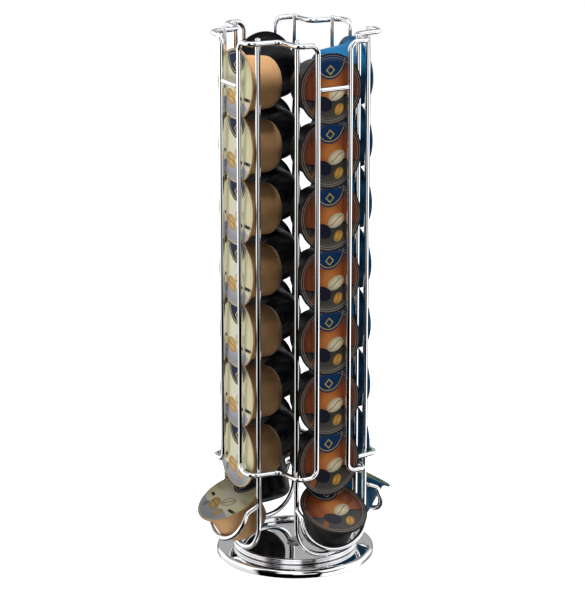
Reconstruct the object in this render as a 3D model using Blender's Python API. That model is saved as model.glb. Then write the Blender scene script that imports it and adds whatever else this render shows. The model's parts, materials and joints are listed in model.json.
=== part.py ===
# Coffee capsule dispenser: a turning rack of chromed wire with four columns of capsules.
# Metres, +Z up. The origin is on the surface that the rack stands on, under its axis.
# The four columns face -Y (front), +X (right), +Y (back) and -X (left).
# Inside a column, reach is the distance outward from the axis and side is the distance across.

from math import acos, asin, atan2, cos, hypot, pi, radians, sin, sqrt, tan

import bpy
import bmesh
from mathutils import Matrix, Vector

mm = 0.001

# Shared clearances
seat_gap = 0.3 * mm              # between pieces that touch or are welded
bearing_gap = 0.3 * mm           # running gap round the pivot

# Wire
wire_diameter = 3.6 * mm
bend_radius = 6.0 * mm           # upright to level, at the four ends of a corner frame
ear_radius = 5.0 * mm            # outer bend of the M-shaped run
notch_radius = 6.0 * mm          # inner bend of the M-shaped run

# Capsule
flange_radius = 24.4 * mm
flange_width = 4.74 * mm         # flange beyond the cup
flange_thickness = 1.8 * mm
capsule_depth = 29.6 * mm        # from the lid to the far end of the cup
cup_draft = 1.3 * mm             # how much narrower the cup is where its rounded end starts
cup_end_fillet = 8.5 * mm

# Columns
stacked_capsules = 7
stack_tilt = radians(3.0)        # the lids look slightly up, so each flange laps the next
channel_play = 2.43 * mm         # between cup and rail
lip_play = 0.7 * mm              # between lid and lip wire
lip_half_spacing = 12.65 * mm
notch_reach = 29.4 * mm          # corner of the M-shaped run, along X and along Y
rail_overrun = 1.6 * mm          # rail end above the top run
top_margin = 7.4 * mm            # top run above the highest flange
bottom_run_drop = 8.2 * mm       # bottom run below the middle of the lowest stacked lid
bar_drop = 31.0 * mm             # cross bar below the top run

# Cradle
cradle_tilt = radians(61.0)      # how far the lowest lid looks up
cradle_lift = 41.0 * mm          # middle of that lid above the dish rim
cradle_play = 0.2 * mm           # between its flange and the rails
hoop_play = 0.3 * mm             # between its cup and the hoop
hoop_flare = 1.2 * mm            # hoop leg outside the rail
hoop_root_drop = 1.2 * mm        # hoop weld below the middle of the lid
hoop_run = 8.3 * mm
hoop_run_slope = radians(25.0)
hoop_leg = 3.5 * mm              # straight start of the hanging part
hoop_elbow_radius = 4.0 * mm
hoop_grip_depth = 21.0 * mm      # how far down the cup the hoop carries it

# Base
base_margin = 11.5 * mm          # base beyond the dish
base_height = 5.9 * mm           # top of the flat flange
base_sheet = 0.8 * mm
base_rim_roll = 2.6 * mm
base_rim_clear = 0.5 * mm        # rim above the surface
well_depth = 1.8 * mm            # centre of the base below its flange
well_slope_run = 1.4 * mm
well_margin = 1.3 * mm           # well wall outside the dish's inner wall
foot_inset = 2.5 * mm            # from the foot ring to the inside of the rim
foot_clear = 2.1 * mm            # from the foot ring to the well's wall

# Dish that turns
dish_radius = 45.0 * mm
dish_sheet = 0.8 * mm
bead_radius = 0.95 * mm
rim_width = 3.1 * mm
rim_round = 0.8 * mm
glide_thickness = 1.0 * mm
glide_inset = 5.8 * mm           # from the glide ring to the well's wall
glide_width = 6.0 * mm

# Pivot
rivet_radius = 2.5 * mm
rivet_head_radius = 6.0 * mm
rivet_head_height = 1.0 * mm
rivet_tail_radius = 5.0 * mm
rivet_tail_height = 0.6 * mm
washer_radius = 6.5 * mm
washer_thickness = 0.5 * mm
bush_wall = 1.1 * mm
bush_flange_width = 1.7 * mm
bush_flange_thickness = 0.5 * mm

# Facets
capsule_sides = 16
disc_sides = 48
pivot_sides = 24
arc_step = radians(22.5)
hoop_steps = 7

# Radii in the base, from the outside in
base_radius = dish_radius + base_margin
foot_outer_radius = base_radius - base_sheet - foot_inset
well_edge_radius = dish_radius - rim_width + well_margin
well_radius = well_edge_radius - well_slope_run
foot_inner_radius = well_edge_radius + base_sheet / 2 + foot_clear
glide_outer_radius = well_radius - glide_inset

# Heights in the base, from the surface up
well_top = base_height - well_depth
glide_bottom = well_top + seat_gap
dish_floor_bottom = glide_bottom + glide_thickness + seat_gap
dish_floor_top = dish_floor_bottom + dish_sheet
rim_bottom = base_height + seat_gap
rim_top = rim_bottom + 4 * bead_radius

# Places of the wires
wire_radius = wire_diameter / 2
weld_offset = wire_diameter + seat_gap
rim_crest = dish_radius - bead_radius - (rim_width - bead_radius - rim_round) / 2
rail_reach = rim_crest
cup_root_radius = flange_radius - flange_width
cup_end_radius = cup_root_radius - cup_draft
capsule_pitch = (flange_radius + cup_root_radius + seat_gap) / cos(stack_tilt)
rail_half_spacing = cup_root_radius + channel_play + wire_radius
cup_straight = capsule_depth - cup_end_fillet - flange_thickness
cup_taper = (cup_root_radius - cup_end_radius) / cup_straight


def cup_radius_at(depth):
    """Radius of the cup's straight side at a depth behind the lid."""
    return cup_root_radius - cup_taper * (depth - flange_thickness)


# The highest point where a tilted flange passes a rail decides how far out the lids stand.
half_height_at_rail = sqrt(max(flange_radius ** 2 - (rail_half_spacing - wire_radius) ** 2, 0))
lid_reach = (rail_reach + wire_radius + seat_gap + flange_thickness
             + half_height_at_rail * sin(stack_tilt))
lip_reach = lid_reach + flange_radius * sin(stack_tilt) + lip_play + wire_radius


def flange_to_rail(reach):
    """Least level distance from a rail's axis to the back edge of the cradled flange."""
    back = reach - flange_thickness * cos(cradle_tilt)
    steps = 90
    gaps = []
    for k in range(steps):
        turn = pi / 2 * k / steps
        gaps.append(hypot(back - flange_radius * sin(cradle_tilt) * sin(turn) - rail_reach,
                          flange_radius * cos(turn) - rail_half_spacing))
    return min(gaps)


def seat_on_rails():
    """Reach at which the cradled flange would touch the two rails."""
    far = rail_reach + 2 * flange_radius
    # the gap falls and rises again, so the search starts where the flange is well outside
    low = rail_reach + flange_radius * sin(cradle_tilt) / 3
    for _ in range(40):
        middle = (low + far) / 2
        if flange_to_rail(middle) < wire_radius + seat_gap:
            low = middle
        else:
            far = middle
    return far


cradle_reach = seat_on_rails() + cradle_play
cradle_height = rim_top + cradle_lift

# The lowest stacked cup rests on the upper edge of the cradled lid.
lip_edge_reach = cradle_reach - flange_radius * sin(cradle_tilt)
lip_edge_height = cradle_height + flange_radius * cos(cradle_tilt)
seat_depth = ((lid_reach - lip_edge_reach
               + (cup_root_radius + cup_taper * flange_thickness) * sin(stack_tilt))
              / (cos(stack_tilt) + cup_taper * sin(stack_tilt)))
lowest_lid_height = (lip_edge_height + seat_gap + seat_depth * sin(stack_tilt)
                     + cup_radius_at(seat_depth) * cos(stack_tilt))
highest_lid_height = lowest_lid_height + (stacked_capsules - 1) * capsule_pitch
top_run_height = highest_lid_height + flange_radius + top_margin
bottom_run_height = lowest_lid_height - bottom_run_drop
rail_top = top_run_height + wire_radius + rail_overrun
rail_bottom = rim_top + seat_gap + wire_radius

# The hoop's lowest point is under the cradled cup.
hoop_offset = (cup_radius_at(hoop_grip_depth)
               + (wire_radius + seat_gap + hoop_play) * hypot(1, cup_taper))
hoop_bottom_reach = (cradle_reach - hoop_grip_depth * cos(cradle_tilt)
                     + hoop_offset * sin(cradle_tilt))
hoop_bottom_height = (cradle_height - hoop_grip_depth * sin(cradle_tilt)
                      - hoop_offset * cos(cradle_tilt))

columns = ["front", "right", "back", "left"]
corners = ["front_right", "back_right", "back_left", "front_left"]


def clear_scene():
    for item in list(bpy.data.objects):
        bpy.data.objects.remove(item, do_unlink=True)


def make_material(name, color, roughness, metallic=0.0):
    material = bpy.data.materials.new(name)
    material.use_nodes = True
    shader = material.node_tree.nodes["Principled BSDF"]
    shader.inputs["Base Color"].default_value = (*color, 1.0)
    shader.inputs["Roughness"].default_value = roughness
    shader.inputs["Metallic"].default_value = metallic
    return material


def add_object(name, data, material, parent=None):
    item = bpy.data.objects.new(name, data)
    bpy.context.scene.collection.objects.link(item)
    if not data.materials:
        data.materials.append(material)
    if parent:
        item.parent = parent
    return item


def add_empty(name, place, turn=0.0, parent=None):
    item = bpy.data.objects.new(name, None)
    bpy.context.scene.collection.objects.link(item)
    item.location = place
    item.rotation_euler = (0, 0, turn)
    if parent:
        item.parent = parent
    return item


def column_point(reach, side, height):
    """A place in the front column; the others are this one turned about Z."""
    return Vector((side, -reach, height))


def round_corners(points, radii, closed):
    """Replace each corner of a path with an arc of the given radius."""
    path = []
    count = len(points)
    for k, (corner, radius) in enumerate(zip(points, radii)):
        if radius == 0 or (not closed and k in (0, count - 1)):
            path.append(corner)
            continue
        into = (corner - points[k - 1]).normalized()
        out = (points[(k + 1) % count] - corner).normalized()
        turn = acos(max(-1.0, min(1.0, into.dot(out))))
        steps = max(1, round(turn / arc_step))
        start = corner - into * radius * tan(turn / 2)
        normal = (out - into * into.dot(out)).normalized()
        for j in range(steps + 1):
            a = turn * j / steps
            path.append(start + into * radius * sin(a) + normal * radius * (1 - cos(a)))
    return path


def make_wire(name, path, closed=False):
    curve = bpy.data.curves.new(name, "CURVE")
    curve.dimensions = "3D"
    spline = curve.splines.new("POLY")
    spline.points.add(len(path) - 1)
    for point, place in zip(spline.points, path):
        point.co = (*place, 1.0)
    spline.use_cyclic_u = closed
    spline.use_smooth = True
    curve.bevel_depth = wire_radius
    curve.bevel_resolution = 2
    curve.use_fill_caps = not closed
    return curve


def arc(center, radius, first, last, steps):
    """Points on an arc in the (radius, height) plane, both ends included."""
    points = []
    for k in range(steps + 1):
        a = first + (last - first) * k / steps
        points.append((center[0] + radius * cos(a), center[1] + radius * sin(a)))
    return points


def make_turned(name, outline, sides, closed):
    """Spin an outline of (radius, height) points about Z into one closed body."""
    mesh = bpy.data.meshes.new(name)
    shape = bmesh.new()
    verts = [shape.verts.new((r, 0, z)) for r, z in outline]
    pairs = list(zip(verts, verts[1:]))
    if closed:
        pairs.append((verts[-1], verts[0]))
    edges = [shape.edges.new(pair) for pair in pairs]
    bmesh.ops.spin(shape, geom=verts + edges, cent=(0, 0, 0), axis=(0, 0, 1),
                   angle=2 * pi, steps=sides, use_merge=True)
    bmesh.ops.remove_doubles(shape, verts=shape.verts, dist=seat_gap / 1000)
    bmesh.ops.recalc_face_normals(shape, faces=shape.faces)
    shape.to_mesh(mesh)
    shape.free()
    mesh.shade_smooth()
    mesh.set_sharp_from_angle(angle=radians(35))
    return mesh


def make_base_plate(material, parent):
    inner = rivet_radius + bearing_gap
    slope_shift = base_sheet / 2
    roll_center = (base_radius - base_rim_roll, base_height - base_rim_roll)
    outline = [(inner, well_top), (well_radius, well_top), (well_edge_radius, base_height)]
    outline += arc(roll_center, base_rim_roll, pi / 2, 0, 4)
    outline += [(base_radius, base_rim_clear), (base_radius - base_sheet, base_rim_clear)]
    outline += arc(roll_center, base_rim_roll - base_sheet, 0, pi / 2, 3)
    outline += [(well_edge_radius + slope_shift, base_height - base_sheet),
                (well_radius + slope_shift, well_top - base_sheet),
                (inner, well_top - base_sheet)]
    return add_object("base_plate", make_turned("base_plate", outline, disc_sides, True),
                      material, parent)


def make_ring(name, inner, outer, bottom, top, sides, material, parent):
    outline = [(inner, top), (outer, top), (outer, bottom), (inner, bottom)]
    return add_object(name, make_turned(name, outline, sides, True), material, parent)


def make_turntable(material, parent):
    hole = rivet_radius + bearing_gap + bush_wall + bearing_gap
    bead_middle = dish_radius - bead_radius
    inner_wall = dish_radius - rim_width
    lean = radians(70)
    outline = [(hole, dish_floor_top), (inner_wall - rim_round, dish_floor_top)]
    outline += arc((inner_wall - rim_round, dish_floor_top + rim_round), rim_round, -pi / 2, 0, 2)
    outline += arc((inner_wall + rim_round, rim_top - rim_round), rim_round, pi, pi / 2, 2)
    outline += arc((bead_middle, rim_top - bead_radius), bead_radius, pi / 2, -lean, 4)
    outline += arc((bead_middle, rim_bottom + bead_radius), bead_radius, lean, -pi / 2, 4)
    outline += [(inner_wall + rim_round, rim_bottom), (inner_wall, dish_floor_bottom),
                (hole, dish_floor_bottom)]
    return add_object("turntable_plate", make_turned("turntable_plate", outline, disc_sides, True),
                      material, parent)


def make_rivet(material, parent):
    washer_bottom = well_top - base_sheet - seat_gap - washer_thickness
    tail_top = washer_bottom - seat_gap
    head_bottom = dish_floor_top + bush_flange_thickness + 2 * seat_gap
    dome_radius = rivet_head_radius * 2 / 3
    outline = [(0, head_bottom + rivet_head_height),
               (dome_radius, head_bottom + rivet_head_height * 3 / 4),
               (rivet_head_radius, head_bottom + rivet_head_height / 4),
               (rivet_head_radius, head_bottom), (rivet_radius, head_bottom),
               (rivet_radius, tail_top), (rivet_tail_radius, tail_top),
               (rivet_tail_radius, tail_top - rivet_tail_height), (0, tail_top - rivet_tail_height)]
    add_object("pivot_rivet", make_turned("pivot_rivet", outline, pivot_sides, False),
               material, parent)
    make_ring("pivot_washer", rivet_radius + bearing_gap, washer_radius, washer_bottom,
              washer_bottom + washer_thickness, pivot_sides, material, parent)


def make_bush(material, parent):
    inner = rivet_radius + bearing_gap
    outer = inner + bush_wall
    flange_bottom = dish_floor_top + seat_gap
    outline = [(inner, flange_bottom + bush_flange_thickness),
               (outer + bush_flange_width, flange_bottom + bush_flange_thickness),
               (outer + bush_flange_width, flange_bottom), (outer, flange_bottom),
               (outer, glide_bottom), (inner, glide_bottom)]
    add_object("pivot_bush", make_turned("pivot_bush", outline, pivot_sides, True),
               material, parent)


def make_base(chrome, steel, plastic, rubber):
    base = add_empty("base_axis", (0, 0, 0))
    make_base_plate(chrome, base)
    make_ring("foot_ring", foot_inner_radius, foot_outer_radius, 0,
              base_height - base_sheet - seat_gap, disc_sides, rubber, base)
    make_ring("glide_ring", glide_outer_radius - glide_width, glide_outer_radius, glide_bottom,
              glide_bottom + glide_thickness, disc_sides, plastic, base)
    make_rivet(steel, base)
    make_bush(plastic, base)


def rail_path():
    """A U of wire: two uprights joined by a half circle that stands on the dish rim."""
    turn_height = rail_bottom + rail_half_spacing
    steps = round(pi / arc_step)
    path = [column_point(rail_reach, -rail_half_spacing, rail_top)]
    for k in range(steps + 1):
        a = pi * k / steps
        path.append(column_point(rail_reach, -rail_half_spacing * cos(a),
                                 turn_height - rail_half_spacing * sin(a)))
    path.append(column_point(rail_reach, rail_half_spacing, rail_top))
    return path


def ear_side():
    """Side of the M run's outer corner, so that the run passes each rail at weld distance."""
    to_rail = (rail_reach - notch_reach, rail_half_spacing - notch_reach)
    heading = atan2(to_rail[1], to_rail[0]) + asin(weld_offset / hypot(*to_rail))
    return notch_reach + (lip_reach - notch_reach) * tan(heading)


def corner_frame_path():
    """Closed loop at the front right corner, from the front lip wire to the right one."""
    side = ear_side()
    plan = [(lip_half_spacing, -lip_reach), (side, -lip_reach), (notch_reach, -notch_reach),
            (lip_reach, -side), (lip_reach, -lip_half_spacing)]
    radii = [bend_radius, ear_radius, notch_radius, ear_radius, bend_radius]
    top = [Vector((x, y, top_run_height)) for x, y in plan]
    bottom = [Vector((x, y, bottom_run_height)) for x, y in reversed(plan)]
    return round_corners(top + bottom, radii + radii, True)


def cross_bar_path():
    end = lip_half_spacing - weld_offset + wire_radius
    height = top_run_height - bar_drop
    return [column_point(lip_reach, -end, height), column_point(lip_reach, end, height)]


def hoop_path():
    """Two short runs out from the rails, then half an oval that hangs under the cup."""
    side = rail_half_spacing + hoop_flare
    root_reach = rail_reach + wire_radius + seat_gap + wire_radius * sin(hoop_run_slope)
    root_height = cradle_height - hoop_root_drop
    elbow_reach = root_reach + hoop_run * cos(hoop_run_slope)
    elbow_height = root_height - hoop_run * sin(hoop_run_slope)
    fall = hypot(hoop_bottom_reach - elbow_reach, elbow_height - hoop_bottom_height)
    leg_share = hoop_leg / fall
    half = [column_point(root_reach, side, root_height),
            column_point(elbow_reach, side, elbow_height)]
    oval_start = half[1].lerp(column_point(hoop_bottom_reach, side, hoop_bottom_height), leg_share)
    for k in range(hoop_steps + 1):
        a = pi / 2 * k / hoop_steps
        share = sin(a)
        half.append(column_point(-oval_start.y + (hoop_bottom_reach + oval_start.y) * share,
                                 side * cos(a),
                                 oval_start.z + (hoop_bottom_height - oval_start.z) * share))
    other = [Vector((-p.x, p.y, p.z)) for p in reversed(half[:-1])]
    radii = [0, hoop_elbow_radius] + [0] * (len(half) + len(other) - 4) + [hoop_elbow_radius, 0]
    return round_corners(half + other, radii, False)


def capsule_outline():
    """Half section of a sealed capsule, lid face at height zero and the cup below it."""
    round_start = flange_thickness + cup_straight
    outline = [(0, 0), (flange_radius, 0), (flange_radius, -flange_thickness),
               (cup_root_radius, -flange_thickness)]
    outline += arc((cup_end_radius - cup_end_fillet, -round_start), cup_end_fillet, 0, -pi / 2, 2)
    outline.append((0, -capsule_depth))
    return outline


def place_capsule(name, mesh, material, reach, height, tilt, column_empty, pivot):
    """Put a capsule in a column; its mesh is shifted so that its origin is on the joint."""
    item = add_object(name, mesh, material, column_empty)
    lean = pi / 2 - tilt
    item.rotation_euler = (lean, 0, 0)
    item.location = column_point(reach, 0, height) - pivot
    return item


def make_columns(chrome, cups, rack):
    rail = make_wire("column_rail", rail_path())
    bar = make_wire("cross_bar", cross_bar_path())
    hoop = make_wire("cradle_hoop", hoop_path())
    lift_place = column_point(lid_reach, 0, lowest_lid_height)
    top_place = column_point(lid_reach, 0, highest_lid_height)
    tip_place = column_point(hoop_bottom_reach, 0, hoop_bottom_height)
    for k, side in enumerate(columns):
        turn = k * pi / 2
        spin = Matrix.Rotation(turn, 3, "Z")
        for kind, wire in (("column_rail", rail), ("cross_bar", bar), ("cradle_hoop", hoop)):
            item = add_object(f"{kind}_{side}", wire, chrome, rack)
            item.rotation_euler = (0, 0, turn)
        lift = add_empty(f"column_lift_{side}", spin @ lift_place, turn, rack)
        loading = add_empty(f"top_lift_{side}", spin @ top_place, turn, rack)
        tip = add_empty(f"cradle_tip_{side}", spin @ tip_place, turn, rack)
        mesh = make_turned(f"capsule_{side}", capsule_outline(), capsule_sides, False)
        for level in range(stacked_capsules):
            height = highest_lid_height - level * capsule_pitch
            holder, origin = (loading, top_place) if level == 0 else (lift, lift_place)
            place_capsule(f"capsule_{side}_{level + 1}", mesh, cups[side], lid_reach, height,
                          stack_tilt, holder, origin)
        place_capsule(f"cradle_capsule_{side}", mesh, cups[side], cradle_reach, cradle_height,
                      cradle_tilt, tip, tip_place)


def make_corner_frames(chrome, rack):
    frame = make_wire("corner_frame", corner_frame_path(), closed=True)
    for k, corner in enumerate(corners):
        item = add_object(f"corner_frame_{corner}", frame, chrome, rack)
        item.rotation_euler = (0, 0, k * pi / 2)


def main():
    clear_scene()
    chrome = make_material("chrome_plate", (0.78, 0.78, 0.80), 0.06, 1.0)
    steel = make_material("zinc_plated_steel", (0.62, 0.63, 0.65), 0.30, 1.0)
    plastic = make_material("acetal", (0.80, 0.79, 0.75), 0.45)
    rubber = make_material("rubber", (0.03, 0.03, 0.03), 0.80)
    cups = {
        "front": make_material("capsule_charcoal", (0.030, 0.030, 0.034), 0.35),
        "right": make_material("capsule_blue", (0.014, 0.145, 0.376), 0.35),
        "back": make_material("capsule_black", (0.012, 0.012, 0.014), 0.35),
        "left": make_material("capsule_tan", (0.440, 0.270, 0.130), 0.35),
    }
    make_base(chrome, steel, plastic, rubber)
    rack = add_empty("rack_axis", (0, 0, 0))
    make_turntable(chrome, rack)
    make_columns(chrome, cups, rack)
    make_corner_frames(chrome, rack)


main()
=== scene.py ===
# Coffee capsule dispenser: a turning rack of chromed wire with four columns of capsules.
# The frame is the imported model; the pieces below are worked out from its boxes and joints.

import json
from math import asin, atan2, cos, hypot, pi, radians, sin, tan

import bmesh
import bpy
import numpy as np
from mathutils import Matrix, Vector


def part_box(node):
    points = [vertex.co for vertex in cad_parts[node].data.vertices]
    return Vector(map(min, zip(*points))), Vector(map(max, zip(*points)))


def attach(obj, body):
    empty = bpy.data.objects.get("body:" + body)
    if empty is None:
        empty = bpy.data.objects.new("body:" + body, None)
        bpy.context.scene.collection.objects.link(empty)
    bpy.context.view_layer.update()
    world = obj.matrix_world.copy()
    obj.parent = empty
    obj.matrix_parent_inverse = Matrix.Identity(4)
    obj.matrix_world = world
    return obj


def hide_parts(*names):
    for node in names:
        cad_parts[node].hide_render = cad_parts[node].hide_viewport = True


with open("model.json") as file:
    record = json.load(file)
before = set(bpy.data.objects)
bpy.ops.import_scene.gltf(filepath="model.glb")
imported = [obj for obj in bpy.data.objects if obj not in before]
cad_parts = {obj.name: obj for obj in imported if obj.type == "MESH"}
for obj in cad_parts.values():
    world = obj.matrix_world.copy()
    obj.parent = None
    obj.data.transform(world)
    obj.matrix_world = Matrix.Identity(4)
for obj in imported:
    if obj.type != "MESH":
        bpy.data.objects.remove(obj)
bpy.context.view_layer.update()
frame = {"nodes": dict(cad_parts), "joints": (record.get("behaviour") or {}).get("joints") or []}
print("frame loaded:", len(frame["nodes"]), "nodes")

mm = 0.001
columns = ["front", "right", "back", "left"]
corners = ["front_right", "back_right", "back_left", "front_left"]
mirror = np.array([-1, 1, 1])    # gives the other half of a shape that is the same on both sides


def linear(hexColour):
    # sRGB hex to the linear values that the shaders expect
    parts = [int(hexColour[k:k + 2], 16) / 255 for k in (1, 3, 5)]
    return tuple(c / 12.92 if c <= 0.04045 else ((c + 0.055) / 1.055) ** 2.4 for c in parts) + (1,)


def darker(colour, share):
    # the same colour with that share of its light
    return tuple(share * c for c in colour[:3]) + (1,)


def addNode(tree, kind, inputs=None, **settings):
    # One node with its settings. An input is given a value, a link, or a node for its first output.
    node = tree.nodes.new("ShaderNode" + kind)
    for key, value in settings.items():
        setattr(node, key, value)
    for key, value in (inputs or {}).items():
        if isinstance(value, bpy.types.Node):
            value = value.outputs[0]
        if isinstance(value, bpy.types.NodeSocket):
            tree.links.new(value, node.inputs[key])
        else:
            node.inputs[key].default_value = value
    return node


def newMaterial(name, inputs):
    # a material with the values that are the same all over it
    material = bpy.data.materials.new(name)
    material.use_nodes = True
    tree = material.node_tree
    shader = tree.nodes["Principled BSDF"]
    for key, value in inputs.items():
        shader.inputs[key].default_value = value
    return material, tree, shader


def setRamp(node, stops):
    # each stop has its place and its colour, or one brightness for a grey
    ramp = node.color_ramp
    while len(ramp.elements) < len(stops):
        ramp.elements.new(0.5)
    for element, (place, colour) in zip(ramp.elements, stops):
        element.position = place
        element.color = colour if isinstance(colour, tuple) else (colour, colour, colour, 1)


# Shapes

def ringsToPiece(name, grids, material, body, nodes=(), loop=False, sharpAngle=40, uvs=None):
    # Each grid[row, column] is a point: columns go round the shape and rows go along it.
    # Neighbours make quads, and a shape that isn't a loop is closed by a fan at each end. The uvs, if any,
    # go with the points of one grid, and each fan's middle gets the mean of its ring.
    points, quads, fans, base = [], [], [], 0
    for grid in grids:
        rows, sides = grid.shape[:2]
        index = base + np.arange(rows * sides).reshape(rows, sides)
        ahead = np.roll(index, -1, axis=1)
        last = rows if loop else rows - 1
        quads.append(np.stack([index[:last], ahead[:last], np.roll(ahead, -1, axis=0)[:last],
                               np.roll(index, -1, axis=0)[:last]], axis=-1).reshape(-1, 4))
        points.append(grid.reshape(-1, 3))
        base += rows * sides
        if not loop:
            for row, reverse in ((0, True), (rows - 1, False)):
                ring = index[row][::-1] if reverse else index[row]
                points.append(grid[row].mean(axis=0, keepdims=True))
                fans.append(np.stack([ring, np.roll(ring, -1), np.full(sides, base)], axis=-1))
                base += 1
    faces = np.concatenate(quads).tolist()
    if fans:
        faces += np.concatenate(fans).tolist()
    mesh = bpy.data.meshes.new(name)
    mesh.from_pydata(np.concatenate(points), [], faces)
    shape = bmesh.new()
    shape.from_mesh(mesh)
    bmesh.ops.recalc_face_normals(shape, faces=shape.faces)
    shape.to_mesh(mesh)
    shape.free()
    mesh.shade_smooth()
    mesh.set_sharp_from_angle(angle=radians(sharpAngle))
    if uvs is not None:
        flat = np.concatenate([uvs.reshape(-1, 2), uvs[0].mean(axis=0, keepdims=True),
                               uvs[-1].mean(axis=0, keepdims=True)])
        corner = np.empty(len(mesh.loops), np.int32)
        mesh.loops.foreach_get("vertex_index", corner)
        layer = mesh.uv_layers.new(name="lidPlane")
        layer.data.foreach_set("uv", flat[corner].ravel())
    mesh.materials.append(material)
    piece = bpy.data.objects.new(name, mesh)
    bpy.context.scene.collection.objects.link(piece)
    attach(piece, body)
    if nodes:
        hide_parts(*nodes)


def turnAboutZ(points, quarters):
    # (x, y) turned by whole quarter turns, so that the front column's shape serves all four
    c, s = [(1, 0), (0, 1), (-1, 0), (0, -1)][quarters % 4]
    turned = points.copy()
    turned[..., 0] = c * points[..., 0] - s * points[..., 1]
    turned[..., 1] = s * points[..., 0] + c * points[..., 1]
    return turned


def unit(vectors):
    return vectors / np.linalg.norm(vectors, axis=-1, keepdims=True)


def arc(center, radius, first, last, count):
    # (r, z) = center + radius (cos a, sin a), with a in degrees from first to last
    a = np.radians(np.linspace(first, last, count))
    return np.stack([center[0] + radius * np.cos(a), center[1] + radius * np.sin(a)], axis=1)


def lathe(profile, sides):
    # A profile point (r, z) goes round the axis: (r cos a, r sin a, z).
    a = np.linspace(0, 2 * pi, sides, endpoint=False)
    r, z = profile[:, :1], profile[:, 1:]
    return np.stack([r * np.cos(a), r * np.sin(a), z + 0 * a], axis=-1)


# Finishes

surface = {
    "polishMark": 7 * mm,        # slow change in how bright the plating is
    "polishSpread": (0.35, 0.7),
    "drawMark": 0.9 * mm,        # marks from drawing the wire, coarser than the real 0.05 mm so they show
    "drawDepth": 0.02 * mm,
    "flowCloud": 14 * mm,        # faint clouds of colour where the plastic flowed into the mould
    "cloudSpread": (0.35, 0.65),
    "mouldGrain": 0.6 * mm,      # both grains are coarser than the real 0.1 mm so they show
    "rubberGrain": 0.5 * mm,
    "grainStrength": 0.25,
    "foilDimple": 2.2 * mm,
    "dimpleDepth": 0.06 * mm,
    "dimpleStrength": 0.35,
    "softGloss": 0.14,           # specular level of plastic and print, which mirror little of the studio
}


def brightChrome(name, colour, roughLow, roughHigh, bump):
    # Decorative nickel-chrome plate on steel: a mirror whose polish wanders a little, over faint marks.
    material, tree, shader = newMaterial(name, {"Base Color": linear(colour), "Metallic": 1.0})
    place = addNode(tree, "TexCoord").outputs["Object"]
    polish = addNode(tree, "TexNoise", {"Vector": place, "Scale": 1 / surface["polishMark"], "Detail": 3.0})
    low, high = surface["polishSpread"]
    rough = addNode(tree, "MapRange", {"Value": polish, "From Min": low, "From Max": high,
                                       "To Min": roughLow, "To Max": roughHigh})
    tree.links.new(rough.outputs["Result"], shader.inputs["Roughness"])
    marks = addNode(tree, "TexNoise", {"Vector": place, "Scale": 1 / surface["drawMark"], "Detail": 2.0})
    relief = addNode(tree, "Bump", {"Height": marks, "Strength": bump, "Distance": surface["drawDepth"]})
    tree.links.new(relief.outputs["Normal"], shader.inputs["Normal"])
    return material


def mouldedPlastic(name, light, dark, roughness, grain="mouldGrain", depth=0.03 * mm):
    # Injection-moulded plastic: an even satin colour with slight flow clouds, and a fine mould grain.
    material, tree, shader = newMaterial(name, {"Roughness": roughness, "IOR": 1.5,
                                                "Specular IOR Level": surface["softGloss"]})
    place = addNode(tree, "TexCoord").outputs["Object"]
    cloud = addNode(tree, "TexNoise", {"Vector": place, "Scale": 1 / surface["flowCloud"], "Detail": 2.0})
    tint = addNode(tree, "ValToRGB", {"Fac": cloud})
    low, high = surface["cloudSpread"]
    setRamp(tint, [(low, linear(dark)), (high, linear(light))])
    tree.links.new(tint.outputs["Color"], shader.inputs["Base Color"])
    fine = addNode(tree, "TexNoise", {"Vector": place, "Scale": 1 / surface[grain], "Detail": 3.0})
    relief = addNode(tree, "Bump", {"Height": fine, "Strength": surface["grainStrength"], "Distance": depth})
    tree.links.new(relief.outputs["Normal"], shader.inputs["Normal"])
    return material


chrome = brightChrome("chromePlatedSteelWire", "#F0F1F3", 0.008, 0.03, 0.05)
sheetChrome = brightChrome("chromePlatedSteelSheet", "#ECECEE", 0.01, 0.035, 0.05)
weldChrome = brightChrome("platedWeld", "#DEDFE2", 0.08, 0.2, 0.9)
cupFinish = {
    "front": mouldedPlastic("polypropyleneCharcoal", "#2C2B2A", "#222222", 0.36),
    "right": mouldedPlastic("polypropyleneBlue", "#155A85", "#12527B", 0.32),
    "back": mouldedPlastic("polypropyleneBlack", "#101012", "#0A0A0C", 0.34),
    "left": mouldedPlastic("polypropyleneGold", "#B28A60", "#A67F57", 0.42),
}
print("plain finishes made")


# Printed lids

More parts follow.
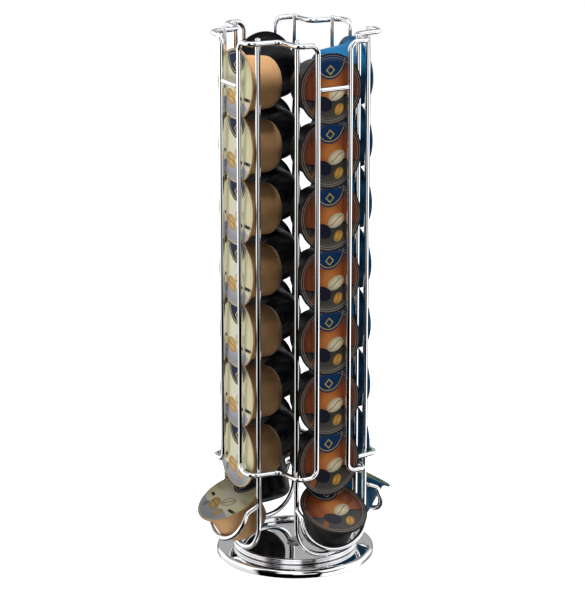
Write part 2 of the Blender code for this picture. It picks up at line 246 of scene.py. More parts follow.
lidPrint = {
    "radius": 24.0,              # all lengths here are millimetres on the lid
    "glow": (0.10, 0.48, 1.0),   # shares of the radius for the colours of the centre, middle and outer part
    "waveDepth": 1.3,
    "waveLength": 34.0,
    "seam": 0.7,                 # half the width of the seam above the lower field
    "seamLap": 0.5,              # how far below the seam's middle the field starts
    "tabPlace": (0.0, 22.0),     # dark blue tab that hangs from the top
    "tabSize": (12.5, 15.5),
    "tabLine": (1.3, 0.22),      # from the tab's edge to a thin line inside it, and half the line's width
    "diamondPlace": (0.0, 13.0),
    "diamondSize": 3.0,
    "diamondLine": 0.5,
    "beans": [                   # place, size, turn in degrees and which colour
        ((4.6, -3.2), (6.9, 4.5), 24, "paleBean"),
        ((-5.6, -9.6), (6.6, 4.7), -32, "darkBean"),
        ((6.0, -14.2), (4.2, 3.1), 52, "goldBean"),
        ((-13.2, -13.4), (3.3, 2.2), 64, "redBean"),
    ],
    "beanShade": (0.35, 0.62),   # where a bean starts to darken, and how much is left at its edge
    "grooveBend": (2.6, 0.22),   # how fast the groove swings, and how far, in the bean's own units
    "groove": (0.34, 0.30),      # half the groove's width, and how much of the bean's colour is left in it
    "grooveEnd": 0.5,            # from the bean's edge
    "tickThickness": 1.15,       # short dark bars near the edge, where a lid has them
    "rimStart": 23.3,
    # painted highlights: thin light lines over the pressed seal rings, where the foil would catch the light
    "sealRingGlints": [21.3, 22.9],
    "glintWidth": 0.12,
    "edgeSoftness": 0.2,
    "roughness": 0.38,
    "lacquerRoughness": 0.06,
}
# In each look, lacquer is the weight of the clear coat, field is the height of the lower field's edge and
# its slope, and a tick has its place, half its length and its turn in degrees.
# The colour of the thin rim lines in each look is a painted highlight on the pressed seal rings.
lidLooks = {
    "front": {
        "centre": "#DE8A44", "middle": "#A4562A", "outer": "#3C1C14", "lower": "#585850",
        "lowerEdge": "#3A3732", "seam": "#140E0C", "tab": "#093868", "mark": "#E0C35A",
        "paleBean": "#FFEFC8", "darkBean": "#15162C", "goldBean": "#F2B355", "redBean": "#B5683A",
        "glintColour": "#B5A092", "rim": "#1F1715", "lacquer": 0.3, "field": (-6.5, 0.0), "ticks": [],
    },
    "right": {
        "centre": "#D7DE6A", "middle": "#A9C24B", "outer": "#6F9638", "lower": "#2F6A4A",
        "lowerEdge": "#1C4632", "seam": "#17352A", "tab": "#0E4688", "mark": "#D9C65E",
        "paleBean": "#EFE6BE", "darkBean": "#16313A", "goldBean": "#E0B04A", "redBean": "#9A7B3A",
        "glintColour": "#C9D08A", "rim": "#7E9C46", "lacquer": 0.3, "field": (-6.5, 0.0), "ticks": [],
    },
    "back": {
        "centre": "#9A4C32", "middle": "#642E22", "outer": "#301816", "lower": "#34343A",
        "lowerEdge": "#1C1C1F", "seam": "#0D0B0B", "tab": "#174276", "mark": "#D9B552",
        "paleBean": "#F0DCB4", "darkBean": "#101018", "goldBean": "#DF9C40", "redBean": "#A0583A",
        "glintColour": "#7F7A76", "rim": "#332F2F", "lacquer": 0.3, "field": (-6.5, 0.0), "ticks": [],
    },
    "left": {
        "centre": "#E6E0CC", "middle": "#EAE5C2", "outer": "#DDD5A4", "lower": "#8E8F98",
        "lowerEdge": "#B4B4BA", "seam": "#E6E4D8", "tab": "#062250", "mark": "#D2C06A",
        "paleBean": "#E9DDB8", "darkBean": "#DDB470", "goldBean": "#DDB97C", "redBean": "#9C9CA6",
        "glintColour": "#C9C4A6", "rim": "#D8D2AC", "tick": "#15120F", "lacquer": 0.0,
        "field": (-11.0, -0.10), "ticks": [((17.8, -8.4), 5.2, 0), ((-16.6, -4.2), 2.6, -14)],
    },
}


def printedFoil(name, look):
    # Rotogravure print on a sealed aluminium foil lid: soft colour fields under a thin clear lacquer,
    # slightly dimpled. The motifs are plain: a tab with a diamond, a wavy field, coffee beans and ticks.
    material, tree, shader = newMaterial(name, {
        "Roughness": lidPrint["roughness"], "IOR": 1.5, "Specular IOR Level": surface["softGloss"],
        "Coat Weight": look["lacquer"], "Coat Roughness": lidPrint["lacquerRoughness"], "Coat IOR": 1.5})
    radius, soft = lidPrint["radius"], lidPrint["edgeSoftness"]
    # The lid's UV runs from 0 to 1 across its diameter; this gives millimetres from its middle.
    plane = addNode(tree, "UVMap", uv_map="lidPlane")
    point = addNode(tree, "Mapping", {"Vector": plane, "Location": (-radius, -radius, 0),
                                      "Scale": (2 * radius, 2 * radius, 1)})
    x, y = addNode(tree, "SeparateXYZ", {"Vector": point}).outputs[:2]
    reach = addNode(tree, "VectorMath", {0: point}, operation="LENGTH").outputs["Value"]

    # The ground fades outwards, and the lower field starts at the height of a wave: depth sin(x) + slope x.
    share = addNode(tree, "Math", {0: reach, 1: radius}, operation="DIVIDE")
    glow = addNode(tree, "ValToRGB", {"Fac": share})
    setRamp(glow, list(zip(lidPrint["glow"], [linear(look[k]) for k in ("centre", "middle", "outer")])))
    glow.color_ramp.interpolation = "EASE"
    fieldHeight, fieldSlope = look["field"]
    lean = addNode(tree, "Math", {0: x, 1: fieldSlope}, operation="MULTIPLY")
    wave = addNode(tree, "Math", {0: x, 1: 2 * pi / lidPrint["waveLength"]}, operation="MULTIPLY")
    wave = addNode(tree, "Math", {0: wave}, operation="SINE")
    wave = addNode(tree, "Math", {0: wave, 1: lidPrint["waveDepth"], 2: lean}, operation="MULTIPLY_ADD")
    drop = addNode(tree, "Math", {0: y, 1: wave}, operation="SUBTRACT")
    share = addNode(tree, "MapRange", {"Value": drop, "From Min": -radius, "From Max": fieldHeight})
    lower = addNode(tree, "ValToRGB", {"Fac": share})
    setRamp(lower, [(0.0, linear(look["lower"])), (1.0, linear(look["lowerEdge"]))])

    # The tab is an oval, and the diamond lies where |x| + |y| from its middle is near its size.
    width, height = lidPrint["tabSize"]
    tab = addNode(tree, "Mapping", {"Vector": point, "Location": (*lidPrint["tabPlace"], 0),
                                    "Scale": (width, height, 1)}, vector_type="TEXTURE")
    tab = addNode(tree, "VectorMath", {0: tab}, operation="LENGTH").outputs["Value"]
    tab = addNode(tree, "Math", {0: tab, 1: width}, operation="MULTIPLY")
    inset, tabLine = lidPrint["tabLine"]
    spread = addNode(tree, "VectorMath", {0: point, 1: (*lidPrint["diamondPlace"], 0)}, operation="SUBTRACT")
    spread = addNode(tree, "VectorMath", {0: spread}, operation="ABSOLUTE")
    spread = addNode(tree, "VectorMath", {0: spread, 1: (1, 1, 0)}, operation="DOT_PRODUCT").outputs["Value"]

    # Layers of ink from the ground up, and last the painted highlights on the seal rings. An ink lies where
    # each of its values is under its edge, or where a line is given too, within that width of the line.
    layers = [
        (linear(look["seam"]), [(drop, fieldHeight, lidPrint["seam"])]),
        (lower, [(drop, fieldHeight - lidPrint["seamLap"])]),
        (linear(look["tab"]), [(tab, width)]),
        (linear(look["mark"]), [(tab, width - inset, tabLine)]),
        (linear(look["mark"]), [(spread, lidPrint["diamondSize"], lidPrint["diamondLine"])]),
    ]
    for place, (long, short), turn, colourName in lidPrint["beans"]:
        # An oval with an S-shaped groove, where y is near reach sin(x) in the bean's own units.
        bean = addNode(tree, "Mapping", {"Vector": point, "Location": (*place, 0), "Scale": (long, short, 1),
                                         "Rotation": (0, 0, radians(turn))}, vector_type="TEXTURE")
        along, across = addNode(tree, "SeparateXYZ", {"Vector": bean}).outputs[:2]
        outward = addNode(tree, "VectorMath", {0: bean}, operation="LENGTH").outputs["Value"]
        edge = addNode(tree, "Math", {0: outward, 1: short}, operation="MULTIPLY")
        swing, bend = lidPrint["grooveBend"]
        groove = addNode(tree, "Math", {0: along, 1: swing}, operation="MULTIPLY")
        groove = addNode(tree, "Math", {0: groove}, operation="SINE")
        groove = addNode(tree, "Math", {0: groove, 1: -bend, 2: across}, operation="MULTIPLY_ADD")
        groove = addNode(tree, "Math", {0: groove, 1: short}, operation="MULTIPLY")
        full = linear(look[colourName])
        start, edgeShare = lidPrint["beanShade"]
        shade = addNode(tree, "ValToRGB", {"Fac": outward})
        setRamp(shade, [(start, full), (1.0, darker(full, edgeShare))])
        grooveLine, grooveShare = lidPrint["groove"]
        layers.append((shade, [(edge, short)]))
        layers.append((darker(full, grooveShare),
                       [(groove, 0.0, grooveLine), (edge, short - lidPrint["grooveEnd"])]))
    thickness = lidPrint["tickThickness"]
    for place, length, turn in look["ticks"]:
        bar = addNode(tree, "Mapping", {"Vector": point, "Location": (*place, 0),
                                        "Rotation": (0, 0, radians(turn)),
                                        "Scale": (length, thickness, 1)}, vector_type="TEXTURE")
        bar = addNode(tree, "VectorMath", {0: bar}, operation="ABSOLUTE")
        along, across = addNode(tree, "SeparateXYZ", {"Vector": bar}).outputs[:2]
        bar = addNode(tree, "Math", {0: along, 1: across}, operation="MAXIMUM")
        bar = addNode(tree, "Math", {0: bar, 1: thickness}, operation="MULTIPLY")
        layers.append((linear(look["tick"]), [(bar, thickness)]))
    inward = addNode(tree, "Math", {0: reach, 1: -1.0}, operation="MULTIPLY")
    layers.append((linear(look["rim"]), [(inward, -lidPrint["rimStart"])]))
    # Painted highlights: light lines over the pressed seal rings, the same at every side of the lid.
    for line in lidPrint["sealRingGlints"]:
        layers.append((linear(look["glintColour"]), [(reach, line, lidPrint["glintWidth"])]))

    printed = glow
    for ink, bounds in layers:
        mask = None
        for value, *line, edge in bounds:
            if line:
                value = addNode(tree, "Math", {0: value, 1: line[0]}, operation="SUBTRACT")
                value = addNode(tree, "Math", {0: value}, operation="ABSOLUTE")
            step = addNode(tree, "MapRange", {"Value": value, "From Min": edge - soft,
                                              "From Max": edge + soft, "To Min": 1.0, "To Max": 0.0})
            mask = step if mask is None else addNode(tree, "Math", {0: mask, 1: step}, operation="MULTIPLY")
        printed = addNode(tree, "Mix", {"Factor": mask, "A": printed, "B": ink},
                          data_type="RGBA").outputs["Result"]
    tree.links.new(printed, shader.inputs["Base Color"])
    dimple = addNode(tree, "TexNoise", {"Vector": addNode(tree, "TexCoord").outputs["Object"],
                                        "Scale": 1 / surface["foilDimple"], "Detail": 2.0})
    relief = addNode(tree, "Bump", {"Height": dimple, "Strength": surface["dimpleStrength"],
                                    "Distance": surface["dimpleDepth"]})
    tree.links.new(relief.outputs["Normal"], shader.inputs["Normal"])
    return material


lidFinish = {side: printedFoil(f"printedFoil_{side}", lidLooks[side]) for side in columns}
print("lid prints made")


# Wires

wire = {
    "radius": 1.8 * mm,
    "gap": 0.3 * mm,             # left by the frame at each weld
    "sides": 28,
    "arcStep": radians(5),
    "railPoints": 49,            # round the foot of a U
    "endDome": 0.9 * mm,
    "domeRings": [18, 36, 54, 72, 86],   # degrees from the wire's end to its tip
    "hold": 0.8 * mm,            # from a bend to the rings that keep a straight leg's shading straight
    "longLeg": 4.8 * mm,         # shortest leg that gets them
}


def roundPath(points, radii):
    # Each corner becomes an arc of its radius, tangent to both legs: start + r sin(a) along the
    # first leg + r (1 - cos(a)) towards the second.
    points = [np.array(p, float) for p in points]
    path, count = [], len(points)
    for k, (corner, radius) in enumerate(zip(points, radii)):
        if radius == 0:
            path.append(corner[None])
            continue
        into, out = unit(corner - points[k - 1]), unit(points[(k + 1) % count] - corner)
        turn = np.arccos(np.clip(into @ out, -1, 1))
        a = np.linspace(0, turn, max(3, int(turn / wire["arcStep"]) + 1))[:, None]
        side = unit(out - into * (into @ out))
        path.append(corner - into * radius * tan(turn / 2) + into * radius * np.sin(a)
                    + side * radius * (1 - np.cos(a)))
    return np.concatenate(path)


def holdStraights(path, closed):
    # Two more points near the ends of each long leg, so that smooth shading stays straight along it.
    leg = np.roll(path, -1, axis=0) - path
    if not closed:
        leg[-1] = 0
    length = np.linalg.norm(leg, axis=1, keepdims=True)
    far = np.flatnonzero(length[:, 0] > wire["longLeg"])
    inset = leg[far] / length[far] * wire["hold"]
    held = np.stack([path[far] + inset, path[far] + leg[far] - inset], axis=1).reshape(-1, 3)
    return np.insert(path, np.repeat(far + 1, 2), held, axis=0)


def tube(path, side, closed=False, dome=0.0):
    # The wire's circle carried along the path: ring point = path point + radius (cos a across +
    # sin a up), where across is square to the tangent and to side. At a free end the radius falls
    # as a quarter ellipse, which leaves the end domed by the given length.
    path = holdStraights(path, closed)
    step = unit(np.roll(path, -1, axis=0) - path)
    before = np.roll(step, 1, axis=0)
    if not closed:
        step[-1], before[0] = step[-2], step[0]
    tangent = unit(step + before)
    radius = wire["radius"]
    size = np.full(len(path), radius)
    if dome:
        a = np.radians(wire["domeRings"])
        path = np.concatenate([(path[0] - tangent[0] * dome * np.sin(a)[:, None])[::-1], path,
                               path[-1] + tangent[-1] * dome * np.sin(a)[:, None]])
        size = np.concatenate([(radius * np.cos(a))[::-1], size, radius * np.cos(a)])
        tangent = np.concatenate([np.tile(tangent[:1], (len(a), 1)), tangent,
                                  np.tile(tangent[-1:], (len(a), 1))])
    across = unit(np.cross(tangent, side))
    up = np.cross(across, tangent)
    a = np.linspace(0, 2 * pi, wire["sides"], endpoint=False)[None, :, None]
    return path[:, None] + size[:, None, None] * (np.cos(a) * across[:, None] + np.sin(a) * up[:, None])


railLow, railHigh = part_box("column_rail_front")
railReach = -(railLow.y + railHigh.y) / 2
railSide = railHigh.x - wire["radius"]
railFoot = railLow.z + wire["radius"]
railTop = railHigh.z


def makeRails():
    # A U: down one side, round a half circle, and up the other.
    a = np.radians(np.linspace(0, 180, wire["railPoints"]))
    bend = np.stack([-railSide * np.cos(a), 0 * a - railReach,
                     railFoot + railSide - railSide * np.sin(a)], axis=1)
    end = railTop - wire["endDome"]
    path = np.concatenate([[(-railSide, -railReach, end)], bend, [(railSide, -railReach, end)]])
    shape = tube(path, (0, 1, 0), dome=wire["endDome"])
    for k, side in enumerate(columns):
        ringsToPiece(f"chrome_rail_{side}", [turnAboutZ(shape, k)], chrome, "rack",
                     [f"column_rail_{side}"])


cornerFrame = {
    "notchReach": 29.4 * mm,     # corner of the M-shaped run, along X and along Y
    "bend": 6.0 * mm,            # upright to level
    "ear": 5.0 * mm,             # outer bend of the run
    "notch": 6.0 * mm,           # inner bend of the run
}
cornerLow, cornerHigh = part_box("corner_frame_front_right")
lipReach = cornerHigh.x - wire["radius"]
lipSide = cornerLow.x + wire["radius"]
runTop = cornerHigh.z - wire["radius"]
runBottom = cornerLow.z + wire["radius"]
weldOffset = 2 * wire["radius"] + wire["gap"]
toRail = (railReach - cornerFrame["notchReach"], railSide - cornerFrame["notchReach"])
runHeading = atan2(toRail[1], toRail[0]) + asin(weldOffset / hypot(*toRail))
earSide = cornerFrame["notchReach"] + (lipReach - cornerFrame["notchReach"]) * tan(runHeading)


def makeCornerFrames():
    # Two upright lip wires joined at the top and bottom by an M-shaped run that passes both rails.
    notch = cornerFrame["notchReach"]
    plan = [(lipSide, -lipReach), (earSide, -lipReach), (notch, -notch), (lipReach, -earSide),
            (lipReach, -lipSide)]
    radii = [cornerFrame[bend] for bend in ("bend", "ear", "notch", "ear", "bend")]
    points = [(x, y, runTop) for x, y in plan] + [(x, y, runBottom) for x, y in reversed(plan)]
    shape = tube(roundPath(points, radii + radii), (1, -1, 0), closed=True)
    for k, corner in enumerate(corners):
        ringsToPiece(f"chrome_frame_{corner}", [turnAboutZ(shape, k)], chrome, "rack",
                     [f"corner_frame_{corner}"], loop=True)


barLow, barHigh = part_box("cross_bar_front")
barHeight = (barLow.z + barHigh.z) / 2


def makeCrossBars():
    # A straight wire between the two lip wires, with a slight dome at each weld.
    path = np.array([(barLow.x + wire["gap"], -lipReach, barHeight), (0, -lipReach, barHeight),
                     (barHigh.x - wire["gap"], -lipReach, barHeight)])
    shape = tube(path, (0, 0, 1), dome=wire["gap"])
    for k, side in enumerate(columns):
        ringsToPiece(f"chrome_bar_{side}", [turnAboutZ(shape, k)], chrome, "rack",
                     [f"cross_bar_{side}"])


# Capsules

capsule = {
    "radius": 24.4 * mm,
    "flange": 1.5 * mm,
    "flangeWidth": 4.74 * mm,
    "depth": 29.6 * mm,
    "draft": 1.3 * mm,
    "endFillet": 7.4 * mm,
    "bead": 0.22 * mm,           # rounding of the flange's edge
    # The next three are in mm: the seat in from the foil's edge and behind the lid, the neck out from the
    # side's root and behind the flange, and the hollow from the axis and in from the end.
    "seat": [(0.6, 1.0), (0.0, 0.75)],
    "neck": [(1.3, 0.0), (0.9, 0.25), (0.75, 1.1), (0.1, 1.5), (-0.12, 2.2)],
    "hollow": [(7.6, 0.0), (7.2, 0.5), (2.2, 0.5), (1.6, 0.1), (0.4, 0.0)],
    "foilRadius": 23.95 * mm,
    "foilGap": 0.1 * mm,         # from the foil's edge to the bead
    "foilDrop": 0.25 * mm,       # foil below the bead
    "foilSag": 0.20 * mm,
    "foilEdge": 0.12 * mm,
    "sealRings": [19.8 * mm, 21.3 * mm, 22.8 * mm],
    "sealWidth": 0.25 * mm,
    "sealHeight": 0.13 * mm,
    "sides": 96,
    "stackTilt": radians(3),
    "cradleTilt": radians(61),
}
lidReach = -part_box("capsule_front_1")[0].y - capsule["radius"] * sin(capsule["stackTilt"])
cradleLow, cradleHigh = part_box("cradle_capsule_front")
cradleReach = -cradleLow.y - capsule["radius"] * sin(capsule["cradleTilt"])
cradleHeight = cradleHigh.z - capsule["radius"] * cos(capsule["cradleTilt"])

hoop = {
    "rootDrop": 1.2 * mm,        # weld below the middle of the cradled lid
    "run": 8.3 * mm,
    "runSlope": radians(25),
    "leg": 3.5 * mm,
    "elbow": 4.0 * mm,
    "ovalPoints": 61,
    "endDome": 0.09 * mm,
}
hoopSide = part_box("cradle_hoop_front")[1].x - wire["radius"]
tipJoint = next(j for j in frame["joints"] if j["name"] == "front_cradle_tip")
hoopBottom = np.array(tipJoint["pos_m"])
rootReach = railReach + wire["radius"] + wire["gap"] + wire["radius"] * sin(hoop["runSlope"])
hoopRoot = np.array([-hoopSide, -rootReach, cradleHeight - hoop["rootDrop"]])


def makeHoops():
    # A short run out from each rail, an elbow, then half an oval: side cos(a) across and sin(a) of the fall.
    elbow = hoopRoot + hoop["run"] * np.array([0, -cos(hoop["runSlope"]), -sin(hoop["runSlope"])])
    fall = hoopBottom - np.array([0, elbow[1], elbow[2]])
    start = elbow + fall * hoop["leg"] / np.linalg.norm(fall)
    rest = hoopBottom - np.array([0, start[1], start[2]])
    a = np.radians(np.linspace(0, 180, hoop["ovalPoints"]))[:, None]
    oval = np.array([1, 0, 0]) * start[0] * np.cos(a) + np.array([0, start[1], start[2]]) + rest * np.sin(a)
    half = roundPath([hoopRoot, elbow, start], [0, hoop["elbow"], 0])
    path = np.concatenate([half[:-1], oval, (half[:-1] * mirror)[::-1]])
    outward = unit(np.cross(rest, (1, 0, 0)))
    shape = tube(path, outward, dome=hoop["endDome"])
    for k, side in enumerate(columns):
        ringsToPiece(f"chrome_hoop_{side}", [turnAboutZ(shape, k)], chrome, "rack",
                     [f"cradle_hoop_{side}"])


weld = {
    "length": 1.9 * mm,
    "width": 1.35 * mm,
    "rootShift": 0.1 * mm,       # of a hoop's weld towards the rail
    "sides": 14,
    "rings": 9,
    "lastRing": 84,              # degrees towards each pole
}


def nugget(place, along, towards):
    # An ellipsoid: length along the wire, width the other way, thick enough to bridge the weld gap.
    along, towards = unit(np.array(along, float)), unit(np.array(towards, float))
    third = np.cross(along, towards)
    v = np.radians(np.linspace(-weld["lastRing"], weld["lastRing"], weld["rings"]))[:, None, None]
    u = np.linspace(0, 2 * pi, weld["sides"], endpoint=False)[None, :, None]
    return (np.array(place) + weld["length"] * np.sin(v) * along
            + weld["width"] * np.cos(v) * (np.cos(u) * towards + np.sin(u) * third))


def makeWelds():
    # Plated weld spots: at the M-shaped runs, the bars, the hoops' roots and the rails' feet.
    heading = unit(np.array([sin(runHeading), -cos(runHeading), 0]))
    square = np.array([cos(runHeading), sin(runHeading), 0])
    rail = np.array([railSide, -railReach, 0])
    spots = []
    for height in (runTop, runBottom):
        spots.append(nugget(rail + square * weldOffset / 2 + (0, 0, height), heading, square))
    end = barHigh.x + wire["gap"] / 2
    spots.append(nugget((end, -lipReach, barHeight), (0, 0, 1), (1, 0, 0)))
    root = hoopRoot * mirror
    between = (root[1] - railReach - wire["radius"]) / 2 + weld["rootShift"]
    spots.append(nugget(((railSide + root[0]) / 2, between, root[2]), (0, 0, 1), (0, 1, 0)))
    spots += [spot * mirror for spot in spots]
    foot = nugget((0, -railReach, railFoot - wire["radius"]), (1, 0, 0), (0, 0, 1))
    spots.append(foot)
    everySpot = [turnAboutZ(spot, k) for k in range(4) for spot in spots]
    ringsToPiece("weld_spots", everySpot, weldChrome, "rack")


makeRails()
makeCornerFrames()
makeCrossBars()
makeHoops()
makeWelds()
print("wires and welds made")


def placeOnLid(profile, reach, height, tilt):
    # A profile point (r, d) at depth d behind the lid goes round the capsule's axis:
    # centre + r cos(a) across + r sin(a) up the lid - d outward.
    a = np.linspace(0, 2 * pi, capsule["sides"], endpoint=False)[None, :, None]
    r, d = profile[:, :1, None], profile[:, 1:, None]
    outward = np.array([0, -cos(tilt), sin(tilt)])
    up = np.array([0, sin(tilt), cos(tilt)])
    return (np.array([0, -reach, height]) + r * (np.cos(a) * np.array([1, 0, 0]) + np.sin(a) * up)
            - d * outward)


def cupProfile():
    # From the middle under the foil, over the beaded flange, down the tapered side and round the end.
    c = capsule
    root = c["radius"] - c["flangeWidth"]
    narrow = root - c["draft"]
    straight = c["depth"] - c["endFillet"]
    foil = c["foilRadius"] + c["foilGap"]
    bead = c["bead"]
    seat = [(foil - inset * mm, depth * mm) for inset, depth in c["seat"]]
    neck = np.array(c["neck"]) * mm + (root, c["flange"])
    hollow = [(r * mm, c["depth"] - inset * mm) for r, inset in c["hollow"]]
    return np.concatenate([
        [(4 * mm, seat[0][1])], seat, [(foil, c["foilDrop"])],
        arc((foil + bead, bead), bead, 180, 270, 5),
        arc((c["radius"] - bead, bead), bead, 270, 360, 5),
        arc((c["radius"] - bead, c["flange"] - bead), bead, 0, 90, 5),
        neck[:-1],
        np.linspace(neck[-1], (narrow, straight), 9),
        arc((narrow - c["endFillet"], straight), c["endFillet"], 0, 90, 15)[1:],
        hollow,
    ])


def foilProfile():
    # A thin disc that sags a little, with three pressed rings at the seal. Each ring is a bell:
    # height exp(-((r - place) / width)^2).
    c = capsule
    drop, edge = c["foilDrop"], c["foilEdge"]
    outer = c["foilRadius"] - edge
    r = np.concatenate([np.linspace(0.2 * mm, 18 * mm, 7), np.linspace(18.5 * mm, outer, 37)[:-1]])
    sag = c["foilSag"] * (1 - (r / c["foilRadius"]) ** 2)
    ring = sum(np.exp(-((r - place) / c["sealWidth"]) ** 2) for place in c["sealRings"]) * c["sealHeight"]
    front = np.stack([r, drop + sag - ring], axis=1)
    back = np.array([(20 * mm, drop + 0.35 * mm), (0.2 * mm, drop + 0.40 * mm)])
    return np.concatenate([front, arc((outer, drop + edge), edge, -90, 90, 5), back])


def makeCapsule(node, side, quarters, reach, height, tilt, body):
    # The cup and its foil lid, with the lid's print plane as a UV from 0 to 1 across its diameter.
    cup = placeOnLid(cupProfile(), reach, height, tilt)
    ringsToPiece(f"cup_{node}", [turnAboutZ(cup, quarters)], cupFinish[side], body, [node],
                 sharpAngle=50)
    profile = foilProfile()
    foil = placeOnLid(profile, reach, height, tilt)
    a = np.linspace(0, 2 * pi, capsule["sides"], endpoint=False)
    share = profile[:, :1] / (2 * lidPrint["radius"] * mm)
    uvs = np.stack([0.5 + share * np.cos(a), 0.5 + share * np.sin(a)], axis=-1)
    ringsToPiece(f"lid_{node}", [turnAboutZ(foil, quarters)], lidFinish[side], body, [node],
                 uvs=uvs)


for k, side in enumerate(columns):
    for level in range(1, 8):
        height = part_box(f"capsule_{side}_{level}")[1].z - capsule["radius"] * cos(capsule["stackTilt"])
        body = f"{side}_top_capsule" if level == 1 else f"{side}_column"
        makeCapsule(f"capsule_{side}_{level}", side, k, lidReach, height, capsule["stackTilt"], body)
    makeCapsule(f"cradle_capsule_{side}", side, k, cradleReach, cradleHeight, capsule["cradleTilt"],
                f"{side}_cradle_capsule")
print("capsules made")


# Base

base = {
    "sheet": 0.8 * mm,
    "roll": 2.6 * mm,
    "wellDepth": 1.8 * mm,
    "wellEdge": 43.2 * mm,
    "wellRun": 1.4 * mm,
    "bore": 2.8 * mm,
    "sides": 192,
}
dish = {
    "sheet": 0.8 * mm,
    "bead": 0.95 * mm,
    "rim": 3.1 * mm,
    "round": 0.8 * mm,
    "bore": 4.2 * mm,
    "lean": 68,                  # degrees round each bead before the groove between them
    "sides": 192,
}


def makeBasePlate():
    # Pressed disc: a shallow well, a flat flange and a rolled rim, with the underside parallel to it.
    low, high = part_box("base_plate")
    top, outer, sheet, roll = high.z, high.x, base["sheet"], base["roll"]
    floor = top - base["wellDepth"]
    middle = (outer - roll, top - roll)
    profile = np.concatenate([
        [(base["bore"], floor), (base["wellEdge"] - base["wellRun"], floor), (base["wellEdge"], top)],
        arc(middle, roll, 90, 0, 12), arc((outer - sheet / 2, low.z + sheet / 2), sheet / 2, 0, -180, 7),
        arc(middle, roll - sheet, 0, 90, 8),
        [(base["wellEdge"] + sheet / 2, top - sheet),
         (base["wellEdge"] - base["wellRun"] + sheet / 2, floor - sheet), (base["bore"], floor - sheet)]])
    ringsToPiece("chrome_base", [lathe(profile, base["sides"])], sheetChrome, "base",
                 ["base_plate"], loop=True, sharpAngle=30)


def makeTurntable():
    # Dish with a raised rim of two beads, and a flat mirror floor.
    low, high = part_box("turntable_plate")
    outer, top, under = high.x, high.z, low.z
    floor = under + dish["sheet"]
    wall = outer - dish["rim"]
    bead, rounding = dish["bead"], dish["round"]
    rimUnder = top - 4 * bead
    middle = outer - bead
    profile = np.concatenate([
        [(dish["bore"], floor)],
        arc((wall - rounding, floor + rounding), rounding, -90, 0, 6),
        arc((wall + rounding, top - rounding), rounding, 180, 90, 6),
        arc((middle, top - bead), bead, 90, -dish["lean"], 14),
        arc((middle, rimUnder + bead), bead, dish["lean"], -90, 14),
        [(wall + rounding, rimUnder), (wall, under), (dish["bore"], under)]])
    ringsToPiece("chrome_dish", [lathe(profile, dish["sides"])], sheetChrome, "rack",
                 ["turntable_plate"], loop=True, sharpAngle=30)


makeBasePlate()
makeTurntable()
# The hidden parts keep their solids. The rubber is matt and grainy, acetal is smooth and milky, and zinc
# plate is a dull silver.
hiddenFinish = {
    "foot_ring": mouldedPlastic("nitrileRubber", "#232325", "#1A1A1B", 0.75, "rubberGrain", 0.08 * mm),
    "glide_ring": mouldedPlastic("acetalRing", "#E9E7DF", "#E1DFD6", 0.42),
    "pivot_bush": mouldedPlastic("acetalBush", "#E9E7DF", "#DEDCD2", 0.42),
    "pivot_rivet": brightChrome("zincPlatedRivet", "#C4C6CA", 0.22, 0.36, 0.8),
    "pivot_washer": brightChrome("zincPlatedWasher", "#BFC1C5", 0.24, 0.38, 0.8),
}
for node, finish in hiddenFinish.items():
    slots = frame["nodes"][node].data.materials
    slots.clear()
    slots.append(finish)
print("base made")


# Stage

stage = {
    "cameraPlace": (-0.900328, -1.560189, 0.715483),
    "cameraTurn": (73.8118, -0.0711, -29.8994),      # degrees
    "lens": 163.4917,
    "floorHalf": 12.0,           # metres from the middle to each side
    "floorColour": "#F4F4F3",
    "floorGlow": 0.86,           # lit evenly all over, as a light table is
    # light on soft surfaces: height (-1 straight down, 1 straight up) and colour
    "soft": [(-0.5, "#7A7A7C"), (0.0, "#8C8C8E"), (0.35, "#8A8A8B"), (0.75, "#38383A")],
    "sideGlow": ((-0.79, -0.12, -0.60), 0.76, 8.5),  # bright patch low on the left: towards, cosine, glow
    # Rows of panels round the rack, each with the height where it starts and half the height over which it
    # fades in: degrees from the camera's side (minus is to its left) and brightness.
    "rows": [
        (-1.0, 0.01, [(-180, 0.03), (180, 0.03)]),
        (-0.62, 0.02, [(-180, 0.30), (-152, 0.40), (-142, 0.95), (-64, 0.9), (-56, 0.0), (38, 0.0), (44, 1.7),
                       (112, 1.6), (122, 0.4), (180, 0.30)]),
        (-0.35, 0.02, [(-180, 0.12), (-152, 0.25), (-142, 0.95), (-62, 0.9), (-54, 0.0), (62, 0.0), (70, 1.7),
                       (122, 1.6), (130, 0.4), (180, 0.12)]),
        (-0.243, 0.045, [(-180, 0.04), (-150, 0.06), (-144, 1.8), (-66, 1.8), (-61, 0.0), (-5, 0.0), (0, 1.4),
                         (29, 1.4), (34, 0.0), (74, 0.02), (79, 1.7), (144, 1.6), (150, 0.06), (180, 0.04)]),
        (0.0, 0.02, [(-180, 0.44), (-152, 0.44), (-140, 1.15), (-61, 1.15), (-54, 0.02), (-29, 0.02),
                     (-22, 1.15), (9, 1.15), (15, 0.02), (36, 0.02), (43, 1.15), (140, 1.15), (152, 0.44),
                     (180, 0.44)]),
        (0.48, 0.02, [(-180, 0.3), (-125, 0.3), (-105, 1.3), (-61, 1.3), (-54, 0.02), (-29, 0.02), (-22, 1.3),
                      (9, 1.3), (15, 0.02), (36, 0.02), (43, 1.3), (105, 1.3), (125, 0.3), (180, 0.3)]),
        (0.84, 0.02, [(-180, 1.4), (180, 1.4)]),
    ],
    # place, target, size in metres, and watts
    "lamps": {
        "frontPanel": ((0.35, -1.3, 0.35), (0, 0, 0.20), (0.6, 0.6), 2.7),
        "backPanel": ((1.0, 0.8, 0.5), (0, 0, 0.20), (0.7, 0.7), 3.2),
        "topLamp": ((0.0, -0.02, 0.80), (0, 0, 0.38), (0.16, 0.16), 3.9),
    },
}


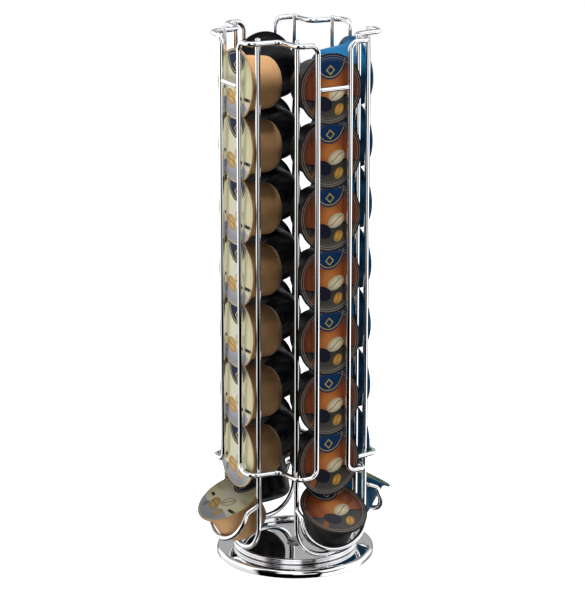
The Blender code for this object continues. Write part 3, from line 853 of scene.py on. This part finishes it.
def makeCamera():
    data = bpy.data.cameras.new("camera")
    data.lens = stage["lens"]
    data.sensor_fit = "HORIZONTAL"
    data.sensor_width = 36
    data.clip_end = 100
    camera = bpy.data.objects.new("camera", data)
    camera.location = stage["cameraPlace"]
    camera.rotation_euler = [radians(a) for a in stage["cameraTurn"]]
    bpy.context.scene.collection.objects.link(camera)
    bpy.context.scene.camera = camera


def makeFloor():
    # A matt white board. The plating and the cups don't see it: the panels of the surround light them.
    half = stage["floorHalf"]
    mesh = bpy.data.meshes.new("floor")
    mesh.from_pydata([(-half, -half, 0), (half, -half, 0), (half, half, 0), (-half, half, 0)], [],
                     [(0, 1, 2, 3)])
    board = {"Base Color": linear(stage["floorColour"]), "Roughness": 0.9, "Emission Color": (1, 1, 1, 1),
             "Emission Strength": stage["floorGlow"]}
    mesh.materials.append(newMaterial("paintedBoard", board)[0])
    floor = bpy.data.objects.new("floor", mesh)
    bpy.context.scene.collection.objects.link(floor)
    floor.visible_glossy = False
    floor.visible_diffuse = False


def makeLight(name, place, target, size, power):
    # A soft panel that faces its target and doesn't show in the plating.
    data = bpy.data.lights.new(name, "AREA")
    data.shape = "RECTANGLE"
    data.size, data.size_y = size
    data.energy = power
    light = bpy.data.objects.new(name, data)
    back = unit(np.array(place) - np.array(target))
    light.location = place
    light.rotation_euler = (np.arccos(back[2]), 0, atan2(back[0], -back[1]))
    light.visible_glossy = False
    bpy.context.scene.collection.objects.link(light)


def makeSurround():
    # A tent of white panels with dark gaps between them, which the plating mirrors as lines. The camera
    # sees plain white, and soft surfaces get an even light.
    world = bpy.data.worlds.new("studio")
    world.use_nodes = True
    tree = world.node_tree
    direction = addNode(tree, "TexCoord").outputs["Generated"]
    x, y, height = addNode(tree, "SeparateXYZ", {"Vector": direction}).outputs
    level = addNode(tree, "CombineXYZ", {"X": x, "Y": y})
    towards = unit(np.array(stage["cameraPlace"][:2]))
    right = (-towards[1], towards[0], 0)
    facing = addNode(tree, "VectorMath", {0: level, 1: (*towards, 0)}, operation="DOT_PRODUCT")
    sideways = addNode(tree, "VectorMath", {0: level, 1: right}, operation="DOT_PRODUCT")
    turn = addNode(tree, "Math", {0: sideways.outputs["Value"], 1: facing.outputs["Value"]},
                   operation="ARCTAN2")
    share = addNode(tree, "MapRange", {"Value": turn, "From Min": -pi, "From Max": pi})
    mirrored = (0, 0, 0, 1)
    for edge, softness, stops in stage["rows"]:
        panels = addNode(tree, "ValToRGB", {"Fac": share})
        setRamp(panels, [((place + 180) / 360, glow) for place, glow in stops])
        above = addNode(tree, "MapRange", {"Value": height, "From Min": edge - softness,
                                           "From Max": edge + softness})
        mirrored = addNode(tree, "Mix", {"Factor": above, "A": mirrored, "B": panels},
                           data_type="RGBA").outputs["Result"]
    soft = addNode(tree, "ValToRGB", {"Fac": addNode(tree, "MapRange", {"Value": height, "From Min": -1.0})})
    setRamp(soft, [((place + 1) / 2, linear(glow)) for place, glow in stage["soft"]])
    patch, edge, glow = stage["sideGlow"]
    nearness = addNode(tree, "VectorMath", {0: direction, 1: unit(np.array(patch))}, operation="DOT_PRODUCT")
    inPatch = addNode(tree, "MapRange", {"Value": nearness.outputs["Value"], "From Min": edge})
    path = addNode(tree, "LightPath")
    light = soft
    for part, over in ((inPatch, (glow, glow, glow, 1)), (path.outputs["Is Glossy Ray"], mirrored),
                       (path.outputs["Is Camera Ray"], (1, 1, 1, 1))):
        light = addNode(tree, "Mix", {"Factor": part, "A": light, "B": over},
                        data_type="RGBA").outputs["Result"]
    tree.links.new(light, tree.nodes["Background"].inputs["Color"])
    bpy.context.scene.world = world


makeCamera()
makeFloor()
makeSurround()
for name, (place, target, size, power) in stage["lamps"].items():
    makeLight(name, place, target, size, power)
bpy.context.scene.view_settings.view_transform = "Standard"
print("stage made")
